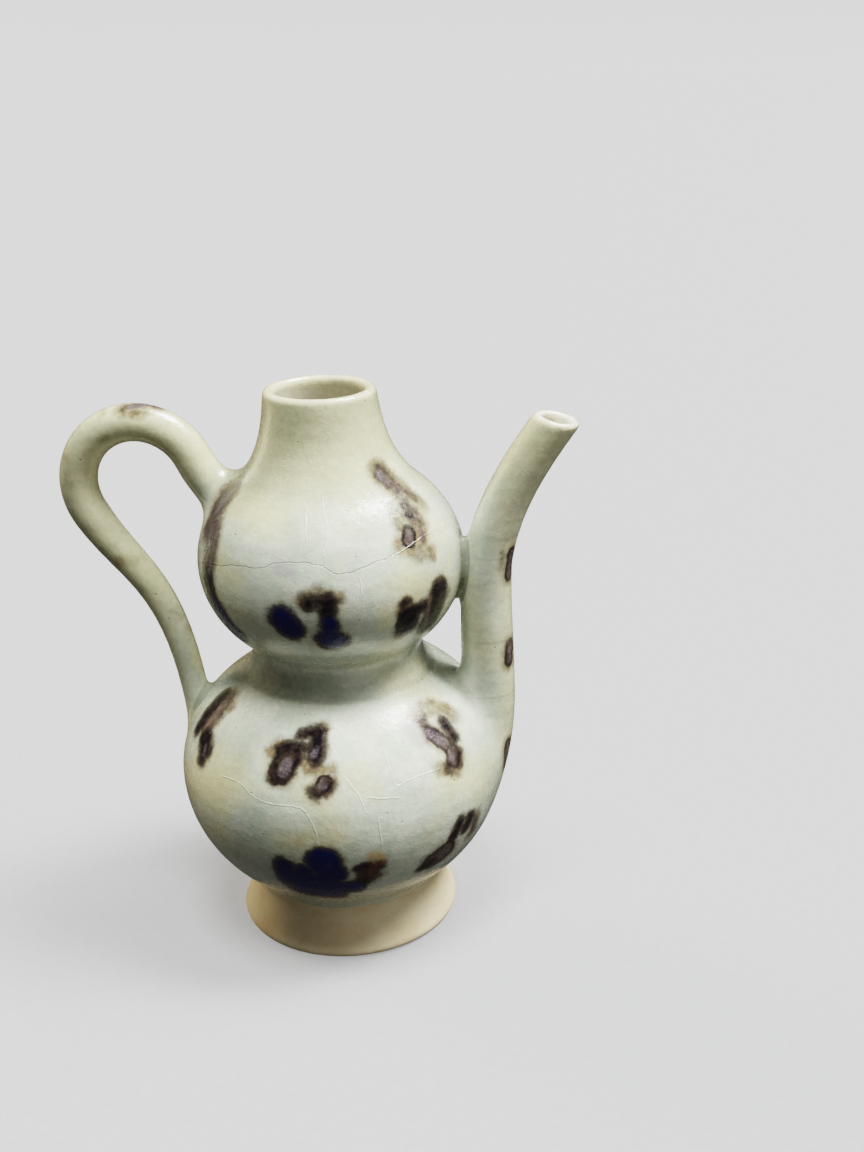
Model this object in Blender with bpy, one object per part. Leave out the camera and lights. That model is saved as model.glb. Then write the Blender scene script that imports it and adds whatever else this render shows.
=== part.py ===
"""Double-gourd ewer: two thrown chambers on a splayed foot, with a luted spout and a looped handle.

Units are metres and +Z is up. The ewer stands on Z = 0, its spout points along +X and its handle along -X,
and its box is centred on the origin. Heights are measured from the ground, and distances from the turning axis.
"""

import math

import bpy
import numpy as np
from mathutils import Vector

# The thrown body
HEIGHT = 0.125                  # ground to lip
WALL = 0.0028                   # thickness of every thrown wall
LEAN = 0.0009                   # how far the mouth leans towards the handle
LEAN_POWER = 1.5                # how late the lean sets in
LOWER_BELLY_RADIUS = 0.0366
LOWER_BELLY_HEIGHT = 0.0385
LOWER_BELLY_DROP = 0.0325       # half-height of the lower chamber's lower curve
LOWER_BELLY_RISE = 0.0287       # half-height of its upper curve
UPPER_BELLY_RADIUS = 0.0291
UPPER_BELLY_HEIGHT = 0.0875
UPPER_BELLY_DROP = 0.0242
UPPER_BELLY_RISE = 0.0236
WAIST_FILLET = 0.0055           # radius of the hollow between chamber and chamber, and chamber and foot
NECK_RADIUS = 0.0112            # the radius that the neck's flare runs out to
NECK_START_HEIGHT = 0.104       # where the upper chamber's shoulder turns into the neck
NECK_FLARE = 0.0083             # height over which the flare loses most of its width

# The foot
FOOT_RADIUS = 0.0252
FOOT_NECK_RADIUS = 0.0222
FOOT_HEIGHT = 0.0126
FOOT_EDGE = 0.0015              # rounding of the foot's lower edge
RECESS_RADIUS = 0.0195
RECESS_DEPTH = 0.008
RECESS_DRAFT = 0.0015           # how much narrower the recess is at its top
BASE_THICKNESS = 0.005          # clay between the recess and the lower chamber's floor
FLOOR_CORNER = 0.008            # rounding between that floor and the wall

# The handle: a loop that springs from the upper chamber's shoulder, then a tail that swings in to the lower chamber
HANDLE_RADIUS = 0.0042
HANDLE_TAIL_RADIUS = 0.0031
HANDLE_LOOP_RADIUS = 0.01364    # of the loop's centre line
HANDLE_STANDOFF = 0.0125        # from the upper chamber's widest radius out to the loop's centre
HANDLE_LOOP_HEIGHT = 0.1035     # of the loop's centre
HANDLE_LOOP_START = 25          # degrees around the loop, from +X towards +Z
HANDLE_LOOP_END = 209
HANDLE_UPPER_ROOT_HEIGHT = 0.1015
HANDLE_UPPER_ROOT_RISE = 38     # degrees above level at which it leaves the shoulder
HANDLE_LOWER_ROOT_HEIGHT = 0.0483
HANDLE_LOWER_ROOT_SLANT = 5     # degrees from upright at which the tail reaches the lower chamber
HANDLE_ROOT_FLARE = 0.0026      # how much the clay spreads where it is luted to the shoulder
HANDLE_TAIL_FLARE = 0.0006      # and where the tail is luted to the lower chamber

# The spout
SPOUT_INSET = 0.0030            # its upright part stands this far inside the lower chamber's widest radius
SPOUT_BASE_RADIUS = 0.00645
SPOUT_TIP_RADIUS = 0.0047
SPOUT_BORE_TIP_RADIUS = 0.0027
SPOUT_WALL = 0.0026             # at its base
SPOUT_ROOT_HEIGHT = 0.0385
SPOUT_ROOT_RISE = 53            # degrees above level at which it leaves the lower chamber
SPOUT_ROOT_FLARE = 0.0012
SPOUT_UPRIGHT_HEIGHT = 0.062    # where the upright part starts to bend outwards
SPOUT_OVERHANG = 0.0153         # how far its tip leans out past the upright part
SPOUT_TIP_HEIGHT = 0.1185
SPOUT_TIP_LEAN = 36             # degrees from upright
SPOUT_RIM_TILT = 14             # degrees that the rim falls away outwards
SPOUT_RIM_TURN = 3              # degrees that the rim falls away sideways, towards -Y

# The clay that joins the spout to the upper chamber
BRIDGE_HEIGHT = 0.0835          # its middle
BRIDGE_HALF_HEIGHT = 0.0105
BRIDGE_HALF_WIDTH = 0.0034

# Shapes of the curves: pulls at a curve's start and end as shares of the distance between the two, and runs in radii
SHOULDER_PULLS = (0.40, 0.40)
TAIL_PULLS = (0.32, 0.64)
ROOT_PULLS = (0.35, 0.40)
BEND_PULLS = (0.39, 0.52)
FLARE_RUN = 2                   # over which the flare at the spout's root dies away
RIM_RUN = 3                     # over which the spout's rings turn square to its rim

# Fineness of the faceted solids
BODY_SIDES = 48
TUBE_SIDES = 14
PROFILE_STEP = 0.00025
CHORD_ERROR = 0.00018           # of the outer profile
INNER_CHORD_ERROR = 0.00030
LIP_STEPS = 4                   # in the quarter circle on each side of the lip
LOOP_STEPS = 14
TAIL_STEPS = 12
SHOULDER_STEPS = 4
SPOUT_ROOT_STEPS = 6
SPOUT_STEPS = 14
RIM_STEPS = 2
BRIDGE_STEPS = 10
OVERCUT = 0.004                 # how far a cutter runs past what it cuts
EMBED = 0.003                   # how far a luted piece runs into its neighbour

GLAZE_COLOUR = (0.72, 0.74, 0.68, 1.0)
GLAZE_ROUGHNESS = 0.25
SHARP_ANGLE = 40                # degrees; gentler edges are shaded smooth


def clear_scene():
    for existing in list(bpy.data.objects):
        bpy.data.objects.remove(existing)


def glaze_material():
    material = bpy.data.materials.new("qingbai_glaze")
    material.use_nodes = True
    shader = material.node_tree.nodes["Principled BSDF"]
    shader.inputs["Base Color"].default_value = GLAZE_COLOUR
    shader.inputs["Roughness"].default_value = GLAZE_ROUGHNESS
    shader.inputs["Metallic"].default_value = 0.0
    return material


# Turned profile

def ellipse_radius(z, middle, radius, rise, drop):
    reach = rise if z > middle else drop
    return radius * math.sqrt(max(0.0, 1.0 - ((z - middle) / reach) ** 2))


def foot_radius(z):
    if z < 0.0 or z > FOOT_HEIGHT:
        return 0.0
    if z < FOOT_EDGE:
        return FOOT_RADIUS - FOOT_EDGE * (1.0 - math.sqrt(1.0 - (1.0 - z / FOOT_EDGE) ** 2))
    rise = (z - FOOT_EDGE) / (FOOT_HEIGHT - FOOT_EDGE)
    return FOOT_NECK_RADIUS + (FOOT_RADIUS - FOOT_NECK_RADIUS) * (1.0 - rise) ** 2


def upper_radius(z):
    def shoulder(height):
        return ellipse_radius(height, UPPER_BELLY_HEIGHT, UPPER_BELLY_RADIUS, UPPER_BELLY_RISE, UPPER_BELLY_DROP)
    if z < NECK_START_HEIGHT:
        return shoulder(z)
    flare = math.exp((NECK_START_HEIGHT - z) / NECK_FLARE)
    return NECK_RADIUS + (shoulder(NECK_START_HEIGHT) - NECK_RADIUS) * flare


def lower_radius(z):
    if z < FOOT_EDGE:
        return 0.0
    return ellipse_radius(z, LOWER_BELLY_HEIGHT, LOWER_BELLY_RADIUS, LOWER_BELLY_RISE, LOWER_BELLY_DROP)


def ball(heights, size):
    """Half-widths of a ball around each height, one row for each height, minus infinity outside it."""
    gap = heights[:, None] - heights[None, :]
    inside = np.abs(gap) <= size
    return np.where(inside, np.sqrt(np.where(inside, size ** 2 - gap ** 2, 0.0)), -np.inf)


def outer_curve():
    """Heights and outer radii, with a ball rolled through the hollows as a fillet."""
    top = HEIGHT - WALL / 2
    heights = np.arange(-WAIST_FILLET, top, PROFILE_STEP)
    heights[-1] = top
    radii = np.array([max(foot_radius(z), lower_radius(z), upper_radius(z)) for z in heights])
    rolled = ball(heights, WAIST_FILLET)
    centres = (radii[None, :] + rolled).max(axis=1)
    above_ground = heights >= 0.0
    return heights[above_ground], (centres[None, :] - rolled).min(axis=1)[above_ground]


def inner_curve(heights, outer):
    """Heights and inner radii, one wall inside the outer curve, down to the chamber's floor."""
    inner = (outer[None, :] - ball(heights, WALL)).min(axis=1)
    floor = RECESS_DEPTH + BASE_THICKNESS
    keep = heights >= floor
    heights, inner = heights[keep], inner[keep]
    drop = np.clip(1.0 - (heights - floor) / FLOOR_CORNER, 0.0, 1.0)
    edge = np.interp(floor + FLOOR_CORNER, heights, inner)
    corner = edge - FLOOR_CORNER * (1.0 - np.sqrt(1.0 - drop ** 2))
    return heights, np.where(drop > 0.0, np.minimum(inner, corner), inner)


def thinned(points, error):
    """The fewest of the points that keep the outline within the given error."""
    start, end = Vector(points[0]), Vector(points[-1])
    along = (end - start).normalized()
    offsets = [abs((Vector(point) - start).cross(along)) for point in points]
    worst = max(range(len(points)), key=offsets.__getitem__)
    if offsets[worst] < error:
        return [points[0], points[-1]]
    return thinned(points[:worst + 1], error)[:-1] + thinned(points[worst:], error)


def lip_arc(outer_radius, start, end):
    """Points of the rounded lip between two angles, 0 on its outer side and 180 on its inner side."""
    size = WALL / 2
    angles = [math.radians(start + (end - start) * step / LIP_STEPS) for step in range(LIP_STEPS + 1)]
    return [(outer_radius - size + size * math.cos(angle), HEIGHT - size + size * math.sin(angle))
            for angle in angles]


def lean(z):
    """Sideways shift of the turning axis, from nothing at the upper chamber's base to the full lean at the lip."""
    start = LOWER_BELLY_HEIGHT + LOWER_BELLY_RISE
    return -LEAN * max(0.0, (z - start) / (HEIGHT - start)) ** LEAN_POWER


def turned(name, outline, material):
    """A closed solid turned from an outline of (radius, height) points, both of whose ends lie on the axis."""
    vertices = [Vector((lean(outline[0][1]), 0.0, outline[0][1]))]
    for radius, height in outline[1:-1]:
        for side in range(BODY_SIDES):
            angle = math.tau * side / BODY_SIDES
            place = (radius * math.cos(angle) + lean(height), radius * math.sin(angle), height)
            vertices.append(Vector(place))
    vertices.append(Vector((lean(outline[-1][1]), 0.0, outline[-1][1])))
    rings = len(outline) - 2
    faces = []
    for side in range(BODY_SIDES):
        after = (side + 1) % BODY_SIDES
        faces.append((0, 1 + after, 1 + side))
        for ring in range(rings - 1):
            low, high = 1 + ring * BODY_SIDES, 1 + (ring + 1) * BODY_SIDES
            faces.append((low + side, low + after, high + after, high + side))
        last = 1 + (rings - 1) * BODY_SIDES
        faces.append((last + side, last + after, len(vertices) - 1))
    return solid(name, vertices, faces, material)


def solid(name, vertices, faces, material):
    mesh = bpy.data.meshes.new(name)
    mesh.from_pydata(vertices, [], faces)
    mesh.materials.append(material)
    mesh.shade_smooth()
    mesh.set_sharp_from_angle(angle=math.radians(SHARP_ANGLE))
    made = bpy.data.objects.new(name, mesh)
    bpy.context.scene.collection.objects.link(made)
    return made


# Routes, all in the plane Y = 0 and given as (x, z)

def heading(degrees):
    """The direction at an angle above level, measured from +X towards +Z."""
    return Vector((math.cos(math.radians(degrees)), math.sin(math.radians(degrees))))


def curve_between(start, leaving, end, arriving, pulls, steps):
    """Points of a cubic curve that leaves and arrives in the given directions, without its first point."""
    chord = (end - start).length
    controls = (start, start + leaving * chord * pulls[0], end - arriving * chord * pulls[1], end)
    points = []
    for step in range(1, steps + 1):
        t = step / steps
        weights = ((1 - t) ** 3, 3 * (1 - t) ** 2 * t, 3 * (1 - t) * t ** 2, t ** 3)
        points.append(sum((weight * control for weight, control in zip(weights, controls)), Vector((0, 0))))
    return points


def lengths(route):
    """Distance of each point from the route's start."""
    total = [0.0]
    for before, after in zip(route, route[1:]):
        total.append(total[-1] + (after - before).length)
    return total


def body_radius(z, curve):
    return float(np.interp(z, *curve))


def handle_route(curve):
    """The handle's centre line from inside the upper chamber's wall to inside the lower one's."""
    centre = Vector((-UPPER_BELLY_RADIUS - HANDLE_STANDOFF, HANDLE_LOOP_HEIGHT))
    leaving = heading(180 - HANDLE_UPPER_ROOT_RISE)
    arriving = heading(HANDLE_LOWER_ROOT_SLANT - 90)
    upper = Vector((-body_radius(HANDLE_UPPER_ROOT_HEIGHT, curve), HANDLE_UPPER_ROOT_HEIGHT)) - leaving * EMBED
    lower = Vector((WALL / 2 - body_radius(HANDLE_LOWER_ROOT_HEIGHT, curve), HANDLE_LOWER_ROOT_HEIGHT))
    loop_start = centre + HANDLE_LOOP_RADIUS * heading(HANDLE_LOOP_START)
    route = [upper]
    route += curve_between(upper, leaving, loop_start, heading(HANDLE_LOOP_START + 90), SHOULDER_PULLS,
                           SHOULDER_STEPS)
    for step in range(1, LOOP_STEPS + 1):
        turn = HANDLE_LOOP_START + (HANDLE_LOOP_END - HANDLE_LOOP_START) * step / LOOP_STEPS
        route.append(centre + HANDLE_LOOP_RADIUS * heading(turn))
    route += curve_between(route[-1], heading(HANDLE_LOOP_END + 90), lower, arriving, TAIL_PULLS, TAIL_STEPS)
    route.append(lower + arriving * EMBED)
    return route


def handle_radii(route):
    """Thick in the loop, thinner along the tail, and spread at both roots."""
    total = lengths(route)
    loop_end = total[SHOULDER_STEPS + LOOP_STEPS]
    radii = []
    for run in total:
        tail = min(1.0, max(0.0, (run - loop_end) / (total[-1] - loop_end)))
        ease = tail * (2.0 - tail)
        even = HANDLE_RADIUS + (HANDLE_TAIL_RADIUS - HANDLE_RADIUS) * ease
        upper_spread = HANDLE_ROOT_FLARE * math.exp(-max(0.0, run - EMBED) / HANDLE_RADIUS)
        lower_spread = HANDLE_TAIL_FLARE * math.exp(-max(0.0, total[-1] - EMBED - run) / HANDLE_TAIL_RADIUS)
        radii.append(even + upper_spread + lower_spread)
    return radii


def spout_route(curve):
    """The spout's centre line from inside the lower chamber to the middle of its rim."""
    inside = body_radius(SPOUT_ROOT_HEIGHT, curve) - SPOUT_BASE_RADIUS - WALL / 2
    root = Vector((inside, SPOUT_ROOT_HEIGHT))
    bend = Vector((LOWER_BELLY_RADIUS - SPOUT_INSET, SPOUT_UPRIGHT_HEIGHT))
    tip = Vector((bend.x + SPOUT_OVERHANG, SPOUT_TIP_HEIGHT))
    upright = heading(90)
    route = [root]
    route += curve_between(root, heading(SPOUT_ROOT_RISE), bend, upright, ROOT_PULLS, SPOUT_ROOT_STEPS)
    route += curve_between(bend, upright, tip, heading(90 - SPOUT_TIP_LEAN), BEND_PULLS, SPOUT_STEPS)
    return route


def tapered(route, start_radius, end_radius, flare):
    """Radii along a route, even from its start to its end, with the start spread by the flare."""
    total = lengths(route)
    radii = []
    for run in total:
        even = start_radius + (end_radius - start_radius) * run / total[-1]
        radii.append(even + flare * math.exp(-run / (FLARE_RUN * start_radius)))
    return radii


def tube(name, route, radii, material, end_normal=None):
    """A capped tube along a route; over its last few radii its rings turn square to the end's normal."""
    total = lengths(route)
    vertices, faces = [], []
    for index, (point, radius) in enumerate(zip(route, radii)):
        run = (route[min(index + 1, len(route) - 1)] - route[max(index - 1, 0)]).normalized()
        along = Vector((run.x, 0.0, run.y))
        across = Vector((run.y, 0.0, -run.x))
        normal = along
        if end_normal is not None:
            turned_share = max(0.0, 1.0 - (total[-1] - total[index]) / (RIM_RUN * radius))
            normal = along.lerp(end_normal, turned_share)
        for side in range(TUBE_SIDES):
            angle = math.tau * side / TUBE_SIDES
            offset = radius * (across * math.cos(angle) + Vector((0.0, math.sin(angle), 0.0)))
            offset -= along * (offset.dot(normal) / along.dot(normal))
            vertices.append(Vector((point.x, 0.0, point.y)) + offset)
    for ring in range(len(route) - 1):
        low, high = ring * TUBE_SIDES, (ring + 1) * TUBE_SIDES
        for side in range(TUBE_SIDES):
            after = (side + 1) % TUBE_SIDES
            faces.append((low + side, low + after, high + after, high + side))
    faces.append(tuple(reversed(range(TUBE_SIDES))))
    faces.append(tuple(range((len(route) - 1) * TUBE_SIDES, len(route) * TUBE_SIDES)))
    return solid(name, vertices, faces, material)


# The pieces

def make_body(curve, material):
    heights, outer = curve
    outside = list(zip(outer.tolist(), heights.tolist()))
    recess = [(0.0, RECESS_DEPTH), (RECESS_RADIUS - RECESS_DRAFT, RECESS_DEPTH), (RECESS_RADIUS, 0.0)]
    lip = lip_arc(outer[-1], 0, 90)
    outline = recess + thinned(outside, CHORD_ERROR) + lip[1:] + [(0.0, HEIGHT)]
    return turned("ewer", outline, material)


def make_cavity(curve, material):
    heights, inner = inner_curve(*curve)
    inside = list(zip(inner.tolist(), heights.tolist()))
    nearly_over = 90 + 90 / LIP_STEPS / 2
    lip = lip_arc(curve[1][-1], 180, nearly_over)
    outline = [(0.0, heights[0])] + thinned(inside, INNER_CHORD_ERROR)[:-1] + lip
    outline += [(lip[-1][0], HEIGHT + OVERCUT), (0.0, HEIGHT + OVERCUT)]
    return turned("cavity_cutter", outline, material)


def make_handle(curve, material):
    route = handle_route(curve)
    return tube("handle", route, handle_radii(route), material)


def make_spout(curve, material):
    route = spout_route(curve)
    radii = tapered(route, SPOUT_BASE_RADIUS, SPOUT_TIP_RADIUS, SPOUT_ROOT_FLARE)
    tilt, turn = math.radians(SPOUT_RIM_TILT), math.radians(SPOUT_RIM_TURN)
    rim = Vector((math.sin(tilt), -math.sin(turn), math.cos(tilt)))
    along = (route[-1] - route[-2]).normalized()
    rounding = (SPOUT_TIP_RADIUS - SPOUT_BORE_TIP_RADIUS) / 2
    tip, tip_radius = route.pop(), radii.pop()
    for step in range(RIM_STEPS + 1):
        angle = math.pi / 2 * step / RIM_STEPS
        route.append(tip - along * rounding * (1 - math.sin(angle)))
        radii.append(tip_radius - rounding * (1 - math.cos(angle)))
    return tube("spout", route, radii, material, end_normal=rim)


def make_bore(curve, material):
    route = spout_route(curve)
    along = (route[-1] - route[-2]).normalized()
    route.append(route[-1] + along * OVERCUT)
    bore = tapered(route, SPOUT_BASE_RADIUS - SPOUT_WALL, SPOUT_BORE_TIP_RADIUS, 0.0)
    return tube("bore_cutter", route, bore, material)


def make_bridge(curve, material):
    """A lens of clay from inside the upper chamber's wall to inside the spout."""
    route = spout_route(curve)
    spout_x = float(np.interp(BRIDGE_HEIGHT, [p.y for p in route], [p.x for p in route]))
    start = body_radius(BRIDGE_HEIGHT, curve) - WALL / 2
    middle = (start + spout_x) / 2
    outline, radii = [], []
    for step in range(BRIDGE_STEPS + 1):
        angle = math.pi * (step + 0.5) / (BRIDGE_STEPS + 1)
        outline.append(Vector((middle, BRIDGE_HEIGHT - BRIDGE_HALF_HEIGHT * math.cos(angle))))
        radii.append(math.sin(angle))
    lens = tube("bridge", outline, radii, material)
    for vertex in lens.data.vertices:
        vertex.co.x = middle + (vertex.co.x - middle) * (spout_x - start) / 2
        vertex.co.y *= BRIDGE_HALF_WIDTH
    return lens


def combine(body, other, operation):
    other.hide_render = True
    other.display_type = "WIRE"
    boolean = body.modifiers.new(other.name, "BOOLEAN")
    boolean.object = other
    boolean.operation = operation
    boolean.solver = "EXACT"


def centre_box(datum, body):
    """Moves the datum, with all that hangs on it, so that the body's box is centred on the origin in X."""
    bpy.context.view_layer.update()
    ready = body.evaluated_get(bpy.context.evaluated_depsgraph_get())
    across = [(ready.matrix_world @ vertex.co).x for vertex in ready.data.vertices]
    datum.location.x -= (min(across) + max(across)) / 2


def main():
    clear_scene()
    material = glaze_material()
    curve = outer_curve()
    datum = bpy.data.objects.new("turning_axis", None)
    bpy.context.scene.collection.objects.link(datum)
    body = make_body(curve, material)
    luted = [make_handle(curve, material), make_spout(curve, material), make_bridge(curve, material)]
    cutters = [make_cavity(curve, material), make_bore(curve, material)]
    for piece in [body] + luted + cutters:
        piece.parent = datum
    for piece in luted:
        combine(body, piece, "UNION")
    for cutter in cutters:
        combine(body, cutter, "DIFFERENCE")
    centre_box(datum, body)


main()
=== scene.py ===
"""Double-gourd ewer: one thrown, luted and glazed body, with its iron spots, crackle and bare foot."""

import math
from functools import partialmethod

import bpy
import numpy as np
from mathutils import Matrix, Vector


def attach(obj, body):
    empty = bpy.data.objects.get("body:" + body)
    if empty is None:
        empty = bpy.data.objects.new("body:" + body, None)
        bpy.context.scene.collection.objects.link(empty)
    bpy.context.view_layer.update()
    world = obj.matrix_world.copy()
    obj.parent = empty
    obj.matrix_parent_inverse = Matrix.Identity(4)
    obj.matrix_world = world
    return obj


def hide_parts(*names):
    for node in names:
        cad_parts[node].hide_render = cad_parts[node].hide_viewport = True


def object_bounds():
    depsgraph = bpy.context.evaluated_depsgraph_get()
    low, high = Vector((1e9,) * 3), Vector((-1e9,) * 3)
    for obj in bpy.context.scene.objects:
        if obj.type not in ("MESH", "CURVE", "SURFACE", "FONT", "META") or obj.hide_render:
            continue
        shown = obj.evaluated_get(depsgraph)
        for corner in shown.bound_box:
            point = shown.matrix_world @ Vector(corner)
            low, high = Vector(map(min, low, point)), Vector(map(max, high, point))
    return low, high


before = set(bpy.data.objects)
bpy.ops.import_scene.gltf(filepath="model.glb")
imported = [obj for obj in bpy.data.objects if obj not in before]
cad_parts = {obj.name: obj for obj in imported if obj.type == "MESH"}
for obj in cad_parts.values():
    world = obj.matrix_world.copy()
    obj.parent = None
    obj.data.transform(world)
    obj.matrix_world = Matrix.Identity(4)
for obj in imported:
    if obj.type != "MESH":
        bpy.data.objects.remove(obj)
cad_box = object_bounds()

# The thrown body, in metres above the ground and from the turning axis, as in the frame
HEIGHT = 0.125
WALL = 0.0028
LEAN = 0.0009
LEAN_POWER = 1.5
LOWER_BELLY_RADIUS = 0.0366
LOWER_BELLY_HEIGHT = 0.0385
LOWER_BELLY_DROP = 0.0325
LOWER_BELLY_RISE = 0.0287
UPPER_BELLY_RADIUS = 0.0291
UPPER_BELLY_HEIGHT = 0.0875
UPPER_BELLY_DROP = 0.0242
UPPER_BELLY_RISE = 0.0236
WAIST_FILLET = 0.0055
NECK_RADIUS = 0.0112
NECK_START_HEIGHT = 0.104
NECK_FLARE = 0.0083

# The foot
FOOT_RADIUS = 0.0252
FOOT_NECK_RADIUS = 0.0222
FOOT_HEIGHT = 0.0126
FOOT_EDGE = 0.0015
RECESS_RADIUS = 0.0195
RECESS_DEPTH = 0.008
RECESS_DRAFT = 0.0015
RECESS_CORNER = 0.0012
BASE_THICKNESS = 0.005
FLOOR_CORNER = 0.008

# The handle
HANDLE_RADIUS = 0.0042
HANDLE_TAIL_RADIUS = 0.0031
HANDLE_LOOP_RADIUS = 0.01364
HANDLE_STANDOFF = 0.0125
HANDLE_LOOP_HEIGHT = 0.1035
HANDLE_LOOP_START = 25
HANDLE_LOOP_END = 209
HANDLE_UPPER_ROOT_HEIGHT = 0.1015
HANDLE_UPPER_ROOT_RISE = 38
HANDLE_LOWER_ROOT_HEIGHT = 0.0483
HANDLE_LOWER_ROOT_SLANT = 5
HANDLE_ROOT_FLARE = 0.0012
HANDLE_ROOT_FILLET = 0.0065
HANDLE_TAIL_FILLET = 0.0030

# The spout
SPOUT_INSET = 0.0030
SPOUT_BASE_RADIUS = 0.00645
SPOUT_TIP_RADIUS = 0.0047
SPOUT_BORE_TIP_RADIUS = 0.0027
SPOUT_WALL = 0.0026
SPOUT_ROOT_HEIGHT = 0.0385
SPOUT_ROOT_RISE = 53
SPOUT_UPRIGHT_HEIGHT = 0.062
SPOUT_OVERHANG = 0.0153
SPOUT_TIP_HEIGHT = 0.1185
SPOUT_TIP_LEAN = 36
SPOUT_RIM_TILT = 14
SPOUT_RIM_TURN = 3
SPOUT_RIM_ROUNDING = 0.0016
SPOUT_ROOT_FILLET = 0.0080

# The clay that joins the spout to the upper chamber
BRIDGE_HEIGHT = 0.0835
BRIDGE_HALF_HEIGHT = 0.0090
BRIDGE_HALF_WIDTH = 0.0030
BRIDGE_FILLET = 0.0022

# How hard each bend holds to its two headings, in shares of its chord
SHOULDER_PULLS = (0.40, 0.40)
TAIL_PULLS = (0.32, 0.64)
ROOT_PULLS = (0.35, 0.40)
BEND_PULLS = (0.39, 0.52)

# Fineness of the surface
PROFILE_STEP = 0.00025
TABLE_STEP = 0.00025
LAST_CELL = 1.001
NET_STEP = 0.0008
BLOCK = 4
BLOCK_REACH = 1.2
MARGIN = 0.003
OUTLINE_REACH = 0.03
TUBE_REACH = 0.02
FINE_ERROR = 0.00001
LIP_STEPS = 10
LOOP_STEPS = 60
BEND_STEPS = 40
STROKE_STEPS = 4
PROBE = 0.0002
LEAST_STEEP = 0.25
INSIDE_SHARE = 0.25
MOUTH_REACH = 0.012

MM = 0.001
CURVATURE_PROBE = 0.8 * MM
DOT_LENGTH = 0.01 * MM


def foot_centre():
    """The turning axis in X, from the foot of the solid in the frame."""
    places = [vertex.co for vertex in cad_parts["ewer"].data.vertices]
    across = [place.x for place in places if place.z < FOOT_EDGE / 10]
    return (min(across) + max(across)) / 2


AXIS_X = foot_centre()
BOX = np.array(cad_box) - (AXIS_X, 0.0, 0.0)


# Turned profile

def ellipse_radius(z, middle, radius, rise, drop):
    reach = np.where(z > middle, rise, drop)
    return radius * np.sqrt(np.maximum(0.0, 1.0 - ((z - middle) / reach) ** 2))


def foot_radius(z):
    edge = np.clip(1.0 - z / FOOT_EDGE, 0.0, 1.0)
    rounded = FOOT_RADIUS - FOOT_EDGE * (1.0 - np.sqrt(1.0 - edge ** 2))
    rise = (z - FOOT_EDGE) / (FOOT_HEIGHT - FOOT_EDGE)
    flared = FOOT_NECK_RADIUS + (FOOT_RADIUS - FOOT_NECK_RADIUS) * (1.0 - rise) ** 2
    return np.where((z < 0.0) | (z > FOOT_HEIGHT), 0.0, np.where(z < FOOT_EDGE, rounded, flared))


def upper_radius(z):
    shape = (UPPER_BELLY_HEIGHT, UPPER_BELLY_RADIUS, UPPER_BELLY_RISE, UPPER_BELLY_DROP)
    start = ellipse_radius(NECK_START_HEIGHT, *shape)
    neck = NECK_RADIUS + (start - NECK_RADIUS) * np.exp((NECK_START_HEIGHT - z) / NECK_FLARE)
    return np.where(z < NECK_START_HEIGHT, ellipse_radius(z, *shape), neck)


def lower_radius(z):
    shape = (LOWER_BELLY_HEIGHT, LOWER_BELLY_RADIUS, LOWER_BELLY_RISE, LOWER_BELLY_DROP)
    return np.where(z < FOOT_EDGE, 0.0, ellipse_radius(z, *shape))


def ball(heights, size):
    """Half-widths of a ball around each height, one row for each height, minus infinity outside it."""
    gap = heights[:, None] - heights[None, :]
    inside = np.abs(gap) <= size
    return np.where(inside, np.sqrt(np.where(inside, size ** 2 - gap ** 2, 0.0)), -np.inf)


def outer_curve():
    """Heights and outer radii, with a ball rolled through the hollows as a fillet."""
    heights = np.arange(-WAIST_FILLET, HEIGHT + PROFILE_STEP / 2, PROFILE_STEP)
    radii = np.maximum(np.maximum(foot_radius(heights), lower_radius(heights)), upper_radius(heights))
    rolled = ball(heights, WAIST_FILLET)
    centres = (radii[None, :] + rolled).max(axis=1)
    above_ground = heights >= 0.0
    return heights[above_ground], (centres[None, :] - rolled).min(axis=1)[above_ground]


def inner_curve(heights, outer):
    """Heights and inner radii, one wall inside the outer curve, down to the chamber's floor."""
    inner = (outer[None, :] - ball(heights, WALL)).min(axis=1)
    floor = RECESS_DEPTH + BASE_THICKNESS
    keep = heights >= floor
    heights, inner = heights[keep], inner[keep]
    drop = np.clip(1.0 - (heights - floor) / FLOOR_CORNER, 0.0, 1.0)
    edge = np.interp(floor + FLOOR_CORNER, heights, inner)
    corner = edge - FLOOR_CORNER * (1.0 - np.sqrt(1.0 - drop ** 2))
    return heights, np.where(drop > 0.0, np.minimum(inner, corner), inner)


CURVE = outer_curve()


def body_radius(z):
    return np.interp(z, *CURVE)


def lean(z):
    start = LOWER_BELLY_HEIGHT + LOWER_BELLY_RISE
    return -LEAN * np.maximum(0.0, (z - start) / (HEIGHT - start)) ** LEAN_POWER


def arc(centre, size, start, end, steps):
    angles = np.radians(np.linspace(start, end, steps + 1))
    return np.stack([centre[0] + size * np.cos(angles), centre[1] + size * np.sin(angles)], axis=1)


def thinned(points, error):
    """The fewest of the points that keep the outline within the given error."""
    start, end = points[0], points[-1]
    along = (end - start) / np.linalg.norm(end - start)
    offsets = np.abs((points[:, 0] - start[0]) * along[1] - (points[:, 1] - start[1]) * along[0])
    worst = int(offsets.argmax())
    if offsets[worst] < error:
        return points[[0, -1]]
    return np.concatenate([thinned(points[:worst + 1], error)[:-1], thinned(points[worst:], error)])


def side_and_lip(heights, radii, start, end):
    """One side of the wall, and the lip's rounding over it between two angles."""
    lip = WALL / 2
    below = heights < HEIGHT - lip
    side = thinned(np.stack([radii[below], heights[below]], axis=1), FINE_ERROR)
    rounding = arc((body_radius(HEIGHT - lip) - lip, HEIGHT - lip), lip, start, end, LIP_STEPS)
    return np.concatenate([side, rounding])


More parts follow.
